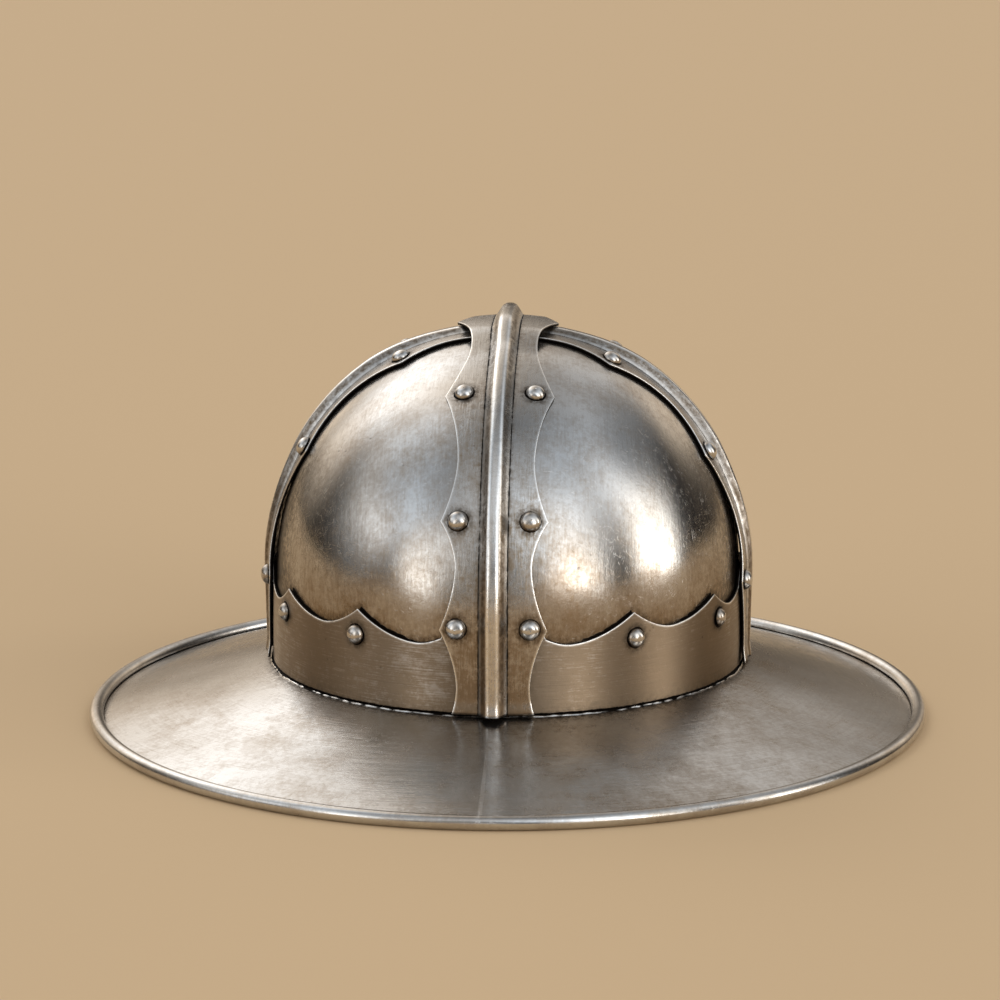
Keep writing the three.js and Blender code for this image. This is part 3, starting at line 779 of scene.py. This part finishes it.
def make_rivet(index, node, place, lift, inner, material):
    random = np.random.default_rng(500 + index)
    sides = 40
    size = 0.94 if node.endswith("_3") else 1.0
    if "brow" in node:
        size = 0.96 if node.endswith("_1") else 0.9
    head = RIVET_RADIUS * size * random.uniform(0.96, 1.0)
    rise = RIVET_RISE * size * random.uniform(0.92, 1.0)
    turn = np.linspace(0, math.pi / 2, 16)
    dome = [(head * math.cos(t) ** 0.9, 0.25 + (rise - 0.05) * math.sin(t) ** 1.05) for t in turn]
    stack = lift - inner
    tail_turn = np.linspace(0, math.pi / 2, 6)
    base = -stack - SEAT - 0.6
    tail = [(RIVET_TAIL * math.sin(t), base - RIVET_TAIL_RISE * math.cos(t)) for t in tail_turn]
    profile = tail + [(RIVET_SHANK, base + 0.1), (RIVET_SHANK, 0.0), (head - 0.25, 0.02), (head, 0.12)] + dome
    profile = [(max(out, 0.15), up) for out, up in profile]
    angle = np.linspace(0, 2 * math.pi, sides, endpoint=False)
    out, up = (np.array(column) for column in zip(*profile))
    local = np.stack([
        np.outer(out, np.cos(angle)), np.outer(out, np.sin(angle)), np.repeat(up[:, None], sides, 1),
    ], -1)
    dent = wave_field(900 + index, 5.5, 8)(local)
    local[..., 2] += 0.07 * dent * (up > 0.8)[:, None] * np.clip(out / 1.5, 0, 1)[:, None]
    normal = Vector(crown_normal(place))
    lean = Vector(random.normal(size=3).tolist()) * 0.025
    spin = (normal + lean).normalized().to_track_quat("Z", "Y").to_matrix()
    seat = lifted(place, lift)
    sections = local @ np.array(spin).T + seat
    # Painted contact shadow with stains at the head's rim, and painted shade on the head's lower side
    skirt = np.clip(1 - (up - 0.1) / 0.9, 0, 1) * (up > -0.5)
    below = np.clip(-local @ np.array(spin).T[:, 2] / head, 0, 1) * (up > 0)[:, None]
    dirt_and_shade = np.repeat(skirt[:, None], sides, 1) + 1.2 * below
    # Painted highlight on the head's top
    top_highlight = np.repeat((np.clip((up - 1.6) / 1.4, 0, 1) * 0.35)[:, None], sides, 1)
    attributes = {
        "dirt_and_shade": 0.5 * dirt_and_shade, "wear_and_highlight": top_highlight, "cut": np.zeros_like(dirt_and_shade), "grain": local,
        # The seam value paints a black contact shadow at the head's rim
        "seam": 0.25 - np.repeat(np.clip(up - 0.1, 0, 2)[:, None], sides, 1),
    }
    piece = skin(node + "_steel", rise_to_foot(sections), "pole", attributes)
    return dress(piece, node, material)


# Materials

class Shader:
    """A material's node tree, with short calls for the nodes that it uses."""

    def __init__(self, name):
        self.material = bpy.data.materials.new(name)
        self.material.use_nodes = True
        self.tree = self.material.node_tree
        self.tree.nodes.clear()
        self.surface = self.add("ShaderNodeBsdfPrincipled")
        output = self.add("ShaderNodeOutputMaterial")
        self.tree.links.new(self.surface.outputs[0], output.inputs[0])
        self.places = self.add("ShaderNodeTexCoord").outputs["Object"]

    def add(self, kind, **settings):
        node = self.tree.nodes.new(kind)
        for key, value in settings.items():
            setattr(node, key, value)
        return node

    def put(self, socket, value):
        if isinstance(value, bpy.types.NodeSocket):
            self.tree.links.new(value, socket)
        else:
            socket.default_value = value

    def math(self, operation, first, second=0.0, clamp=False):
        node = self.add("ShaderNodeMath", operation=operation, use_clamp=clamp)
        self.put(node.inputs[0], first)
        self.put(node.inputs[1], second)
        return node.outputs[0]

    def attribute(self, name, output="Fac"):
        return self.add("ShaderNodeAttribute", attribute_name=name).outputs[output]

    def stretched(self, vector, scale):
        node = self.add("ShaderNodeMapping")
        self.put(node.inputs["Vector"], vector)
        node.inputs["Scale"].default_value = scale
        return node.outputs[0]

    def noise(self, vector, scale, detail=4.0, roughness=0.6, distortion=0.0):
        node = self.add("ShaderNodeTexNoise")
        self.put(node.inputs["Vector"], vector)
        node.inputs["Scale"].default_value = scale
        node.inputs["Detail"].default_value = detail
        node.inputs["Roughness"].default_value = roughness
        node.inputs["Distortion"].default_value = distortion
        return node.outputs["Fac"]

    def spread(self, value, low, high, to_low=0.0, to_high=1.0):
        node = self.add("ShaderNodeMapRange", interpolation_type="SMOOTHSTEP")
        self.put(node.inputs["Value"], value)
        node.inputs["From Min"].default_value = low
        node.inputs["From Max"].default_value = high
        node.inputs["To Min"].default_value = to_low
        node.inputs["To Max"].default_value = to_high
        return node.outputs["Result"]

    def mix(self, share, first, second):
        node = self.add("ShaderNodeMix", data_type="RGBA")
        self.put(node.inputs[0], share)
        self.put(node.inputs[6], first)
        self.put(node.inputs[7], second)
        return node.outputs[2]


def colour(red, green, blue):
    return (red, green, blue, 1.0)


BARE = colour(0.56, 0.555, 0.545)
PATINA = colour(0.27, 0.208, 0.145)
# Near-black for pits, painted shadow lines and cut faces painted as shade; dark brown for stains with painted
# shade; bright for scratches, wear and painted highlights
PIT_AND_SHADOW_BLACK = colour(0.012, 0.009, 0.007)
DIRT_AND_SHADE_BROWN = colour(0.055, 0.042, 0.03)
BRIGHT = colour(0.94, 0.94, 0.93)


def steel(name, patina, gloss, streak_scale, low_warmth, streaks=0.5, swirls=0.5, pits=0.5, grit=0.5, brushed_round=0.0):
    """Satin steel: patina in clouds, browner towards the bottom, brushed grain, swirls and pits, stains with
    painted shade, black painted shadow lines, and wear with painted highlights on edges, crests and rivet tops.
    """
    s = Shader(name)
    dirt_and_shade, wear_and_highlight, cut, seam = (s.attribute(key) for key in ("dirt_and_shade", "wear_and_highlight", "cut", "seam"))
    grain = s.attribute("grain", "Vector")
    clouds = s.noise(s.places, 15, 3, 0.55)
    blotches = s.noise(s.places, 75, 5, 0.65)
    specks = s.noise(s.places, 430, 5, 0.75)
    brushed = s.noise(s.stretched(grain, streak_scale), 1.0, 4, 0.65)
    scuffed = s.noise(s.stretched(grain, tuple(0.22 * step for step in streak_scale)), 1.0, 3, 0.6)

    # Fine curved scratches follow the level lines of a noise, broken up by another one
    def scratches(scale, rings, width, shift):
        moved = s.add("ShaderNodeMapping")
        s.put(moved.inputs["Vector"], s.places)
        moved.inputs["Location"].default_value = (shift, shift * 0.7, shift * 1.3)
        levels = s.math("MULTIPLY", s.noise(moved.outputs[0], scale, 1.5, 0.4, 0.4), rings)
        line = s.spread(s.math("PINGPONG", levels, 0.5), 0.0, width, 1.0, 0.0)
        broken = s.spread(s.noise(moved.outputs[0], scale * 4.3, 2, 0.5), 0.52, 0.64)
        return s.math("MULTIPLY", line, broken)

    swirl = s.math("MAXIMUM", scratches(60, 30, 0.05, 0.0), scratches(110, 22, 0.05, 3.1), clamp=True)

    cells = s.add("ShaderNodeTexVoronoi", feature="F1")
    s.put(cells.inputs["Vector"], s.places)
    cells.inputs["Scale"].default_value = 330
    where = s.spread(s.noise(s.places, 46, 3, 0.7), 0.54, 0.7)
    where = s.math("MAXIMUM", where, s.spread(dirt_and_shade, 0.4, 0.9, 0.0, 0.9))
    pit = s.math("MULTIPLY", s.spread(cells.outputs["Distance"], 0.08, 0.24, 1.0, 0.0), where)
    pit = s.math("MULTIPLY", pit, s.spread(s.noise(s.places, 190, 2, 0.5), 0.45, 0.6))
    pit = s.math("MULTIPLY", pit, pits)

    height = s.add("ShaderNodeSeparateXYZ")
    s.put(height.inputs[0], s.places)
    low_down = s.spread(height.outputs[2], 0.02, 0.13, low_warmth, 0.0)
    age = s.math("ADD", s.math("MULTIPLY", s.math("SUBTRACT", clouds, 0.5), 1.6), patina)
    age = s.math("ADD", age, s.math("MULTIPLY", s.math("SUBTRACT", blotches, 0.5), 1.3))
    age = s.math("ADD", age, s.math("MULTIPLY", s.math("SUBTRACT", specks, 0.5), 3.0 * grit))
    age = s.math("ADD", age, low_down)
    age = s.math("ADD", age, s.math("MULTIPLY", s.math("SUBTRACT", brushed, 0.5), 1.4 * streaks))
    age = s.math("ADD", age, s.math("MULTIPLY", dirt_and_shade, 0.5), clamp=True)

    # Stains with painted shade darken the colour, from the mesh's darkening value
    dirt_and_shade_share = s.math("MULTIPLY", dirt_and_shade, s.spread(specks, 0.3, 0.65, 0.5, 1.4), clamp=True)
    dirt_and_shade_share = s.spread(dirt_and_shade_share, 0.05, 0.85)
    wavy = s.math("MULTIPLY", s.math("SUBTRACT", s.noise(s.places, 260, 3, 0.7), 0.5), 0.9)
    # Painted shadow lines, black, along sheet edges, ridge feet, crevices and rivet rims
    black = s.spread(s.math("ADD", seam, wavy), -0.1, 0.16)
    tint = s.mix(age, BARE, PATINA)
    tint = s.mix(s.math("MULTIPLY", swirl, 0.4 * swirls), tint, BRIGHT)
    tint = s.mix(s.math("MULTIPLY", dirt_and_shade_share, 0.95), tint, DIRT_AND_SHADE_BROWN)
    tint = s.mix(s.math("MAXIMUM", pit, black), tint, PIT_AND_SHADOW_BLACK)
    # Painted highlights on arrises, ridge crests, the bead and rivet tops, with wear, turn bright
    shine = s.math("MULTIPLY", wear_and_highlight, s.spread(s.noise(s.places, 300, 3, 0.7), 0.3, 0.5, 0.55, 1.0))
    tint = s.mix(shine, tint, BRIGHT)
    # Cut faces painted near-black as shade, with stains
    tint = s.mix(cut, tint, PIT_AND_SHADOW_BLACK)
    s.put(s.surface.inputs["Base Color"], tint)
    s.surface.inputs["Metallic"].default_value = 1.0
    s.surface.inputs["Anisotropic"].default_value = abs(brushed_round)
    s.surface.inputs["Anisotropic Rotation"].default_value = 0.25 if brushed_round > 0 else 0.0

    rough = s.math("ADD", s.math("MULTIPLY", s.math("SUBTRACT", blotches, 0.5), 0.22), gloss)
    rough = s.math("ADD", rough, s.math("MULTIPLY", s.math("SUBTRACT", brushed, 0.5), 0.3 * streaks))
    rough = s.math("ADD", rough, s.math("MULTIPLY", s.math("SUBTRACT", specks, 0.5), 0.3 * grit))
    rough = s.math("ADD", rough, s.math("MULTIPLY", age, 0.05))
    rough = s.math("ADD", rough, s.math("MULTIPLY", dirt_and_shade_share, 0.1))
    rough = s.math("SUBTRACT", rough, s.math("MULTIPLY", shine, 0.08))
    rough = s.math("ADD", rough, s.math("MULTIPLY", s.math("MAXIMUM", cut, black), 0.5), clamp=True)
    s.put(s.surface.inputs["Roughness"], rough)

    relief = s.math("MULTIPLY", s.math("SUBTRACT", brushed, 0.5), 0.8 * streaks)
    relief = s.math("ADD", relief, s.math("MULTIPLY", s.math("SUBTRACT", scuffed, 0.5), 1.6 * streaks))
    relief = s.math("ADD", relief, s.math("MULTIPLY", specks, 1.2 * grit))
    relief = s.math("ADD", relief, s.math("MULTIPLY", blotches, 1.4))
    relief = s.math("SUBTRACT", relief, s.math("MULTIPLY", swirl, 0.35 * swirls))
    relief = s.math("SUBTRACT", relief, s.math("MULTIPLY", pit, 1.2))
    bump = s.add("ShaderNodeBump")
    bump.inputs["Strength"].default_value = 1.0
    bump.inputs["Distance"].default_value = 0.00007
    s.put(bump.inputs["Height"], relief)
    s.put(s.surface.inputs["Normal"], bump.outputs[0])
    return s.material


plate_steel = steel("plate_steel", 0.12, 0.18, (0.12, 0.9, 1.0), 0.8, streaks=0.45, swirls=0.6, grit=0.4)
band_steel = steel(
    "band_steel", 0.12, 0.25, (0.14, 1.5, 1.0), 0.85, streaks=0.8, swirls=0.3, grit=0.6, brushed_round=-0.4,
)
side_steel = steel("side_steel", 0.36, 0.26, (0.14, 1.5, 1.0), 0.4, streaks=0.8, swirls=0.3, grit=0.6)
brow_steel = steel(
    "brow_steel", 0.62, 0.36, (0.08, 1.6, 1.0), 0.5, streaks=1.2, swirls=0.2, grit=0.35, brushed_round=0.9,
)
brim_steel = steel(
    "brim_steel", 0.22, 0.21, (0.05, 1.2, 1.0), 0.0, streaks=0.5, swirls=0.4, pits=0.2, grit=0.4, brushed_round=0.4,
)
rivet_steel = steel("rivet_steel", 0.2, 0.22, (0.3, 0.3, 0.3), 0.3, streaks=0.2, swirls=0.2, pits=0.2, grit=0.3)

# Pieces

make_brim(brim_steel)
make_brow_band(brow_steel)
make_fore_aft_band(band_steel)
for side, side_name in SIDES:
    make_side_band(side, side_name, side_steel)
    for end, end_name in ENDS:
        seed = 40 + 2 * (side > 0) + (end > 0)
        make_plate(side, end, f"plate_{end_name}_{side_name}", wave_field(seed, 42), plate_steel)
for index, (node, place, lift, inner) in enumerate(SEATS):
    make_rivet(index, node, place, lift, inner, rivet_steel)


# Floor, light and camera

def make_floor():
    mesh = bpy.data.meshes.new("floor")
    reach = 9.0
    mesh.from_pydata([(-reach, -reach, 0), (reach, -reach, 0), (reach, reach, 0), (-reach, reach, 0)], [], [(0, 1, 2, 3)])
    floor = bpy.data.objects.new("floor", mesh)
    bpy.context.scene.collection.objects.link(floor)
    s = Shader("floor_paper")
    s.surface.inputs["Base Color"].default_value = colour(0.68, 0.49, 0.29)
    s.surface.inputs["Roughness"].default_value = 0.95
    mesh.materials.append(s.material)


def make_sky(glows):
    """Studio light as soft round glows: azimuth (0 in front, 90 at +X), row, radiance and tint."""
    world = bpy.data.worlds.new("studio")
    bpy.context.scene.world = world
    world.use_nodes = True
    tree = world.node_tree
    tree.nodes.clear()

    def add(kind, operation, *values):
        node = tree.nodes.new(kind)
        node.operation = operation
        for socket, value in zip(node.inputs, values):
            if isinstance(value, bpy.types.NodeSocket):
                tree.links.new(value, socket)
            else:
                socket.default_value = value
        return node.outputs

    way = tree.nodes.new("ShaderNodeTexCoord").outputs["Generated"]
    total = AMBIENT
    for azimuth, (elevation, spread), radiance, tint in glows:
        a, e = math.radians(azimuth), math.radians(elevation)
        axis = (math.sin(a) * math.cos(e), -math.cos(a) * math.cos(e), math.sin(e))
        nearness = add("ShaderNodeVectorMath", "DOT_PRODUCT", way, axis)["Value"]
        falloff = add("ShaderNodeMath", "SUBTRACT", nearness, 1.0)[0]
        falloff = add("ShaderNodeMath", "MULTIPLY", falloff, 1 / math.radians(spread) ** 2)[0]
        glow = add("ShaderNodeMath", "POWER", math.e, falloff)[0]
        strength = tuple(radiance * part for part in tint)
        total = add("ShaderNodeVectorMath", "MULTIPLY_ADD", glow, strength, total)["Vector"]
    background = tree.nodes.new("ShaderNodeBackground")
    output = tree.nodes.new("ShaderNodeOutputWorld")
    tree.links.new(total, background.inputs[0])
    tree.links.new(background.outputs[0], output.inputs[0])


def make_camera():
    camera = bpy.data.objects.new("camera", bpy.data.cameras.new("camera"))
    camera.data.sensor_width = 36
    camera.data.lens = CAMERA_LENS
    camera.data.clip_end = 50
    camera.location = Vector(CAMERA_AT) * MM
    aim = (Vector(CAMERA_AIM) - Vector(CAMERA_AT)).normalized()
    camera.rotation_mode = "QUATERNION"
    camera.rotation_quaternion = aim.to_track_quat("-Z", "Y")
    bpy.context.scene.collection.objects.link(camera)
    bpy.context.scene.camera = camera


bpy.context.scene.view_settings.view_transform = "Standard"
AMBIENT = (0.012, 0.010, 0.009)
AMBER = (1.24, 1.0, 0.74)
CREAM = (1.06, 1.0, 0.92)
WHITE = (1.0, 1.0, 1.0)
COOL = (0.91, 1.0, 1.1)
LOW = (5, 6)
MIDDLE = (18, 8.5)
HIGH = (35, 10)
TOP = (56, 14)
GLOWS = [
    (-155, LOW, 0.9, AMBER),
    (-45, LOW, 2.2, CREAM),
    (-5, LOW, 0.8, CREAM),
    (30, LOW, 1.0, AMBER),
    (45, LOW, 4.6, CREAM),
    (90, LOW, 5.0, CREAM),
    (165, LOW, 0.3, AMBER),
    (-165, MIDDLE, 0.5, AMBER),
    (-135, MIDDLE, 0.7, AMBER),
    (-90, MIDDLE, 0.4, CREAM),
    (-75, MIDDLE, 1.2, WHITE),
    (-45, MIDDLE, 1.3, WHITE),
    (-30, MIDDLE, 0.6, CREAM),
    (30, MIDDLE, 1.4, COOL),
    (45, MIDDLE, 1.7, CREAM),
    (90, MIDDLE, 2.2, CREAM),
    (150, MIDDLE, 0.7, AMBER),
    (-158, (27, 7), 0.5, WHITE),
    (180, HIGH, 0.3, AMBER),
    (-160, HIGH, 0.8, WHITE),
    (-140, HIGH, 1.8, WHITE),
    (-100, HIGH, 0.4, CREAM),
    (-60, HIGH, 0.8, COOL),
    (-20, HIGH, 0.4, WHITE),
    (20, HIGH, 1.1, COOL),
    (40, HIGH, 1.3, WHITE),
    (80, HIGH, 1.1, WHITE),
    (160, HIGH, 0.5, WHITE),
    (-140, TOP, 0.7, AMBER),
    (-100, TOP, 0.9, COOL),
    (-10, TOP, 0.6, WHITE),
    (60, TOP, 0.5, COOL),
    (100, TOP, 0.3, COOL),
    (140, TOP, 0.4, WHITE),
]
make_floor()
make_sky(GLOWS)
make_camera()
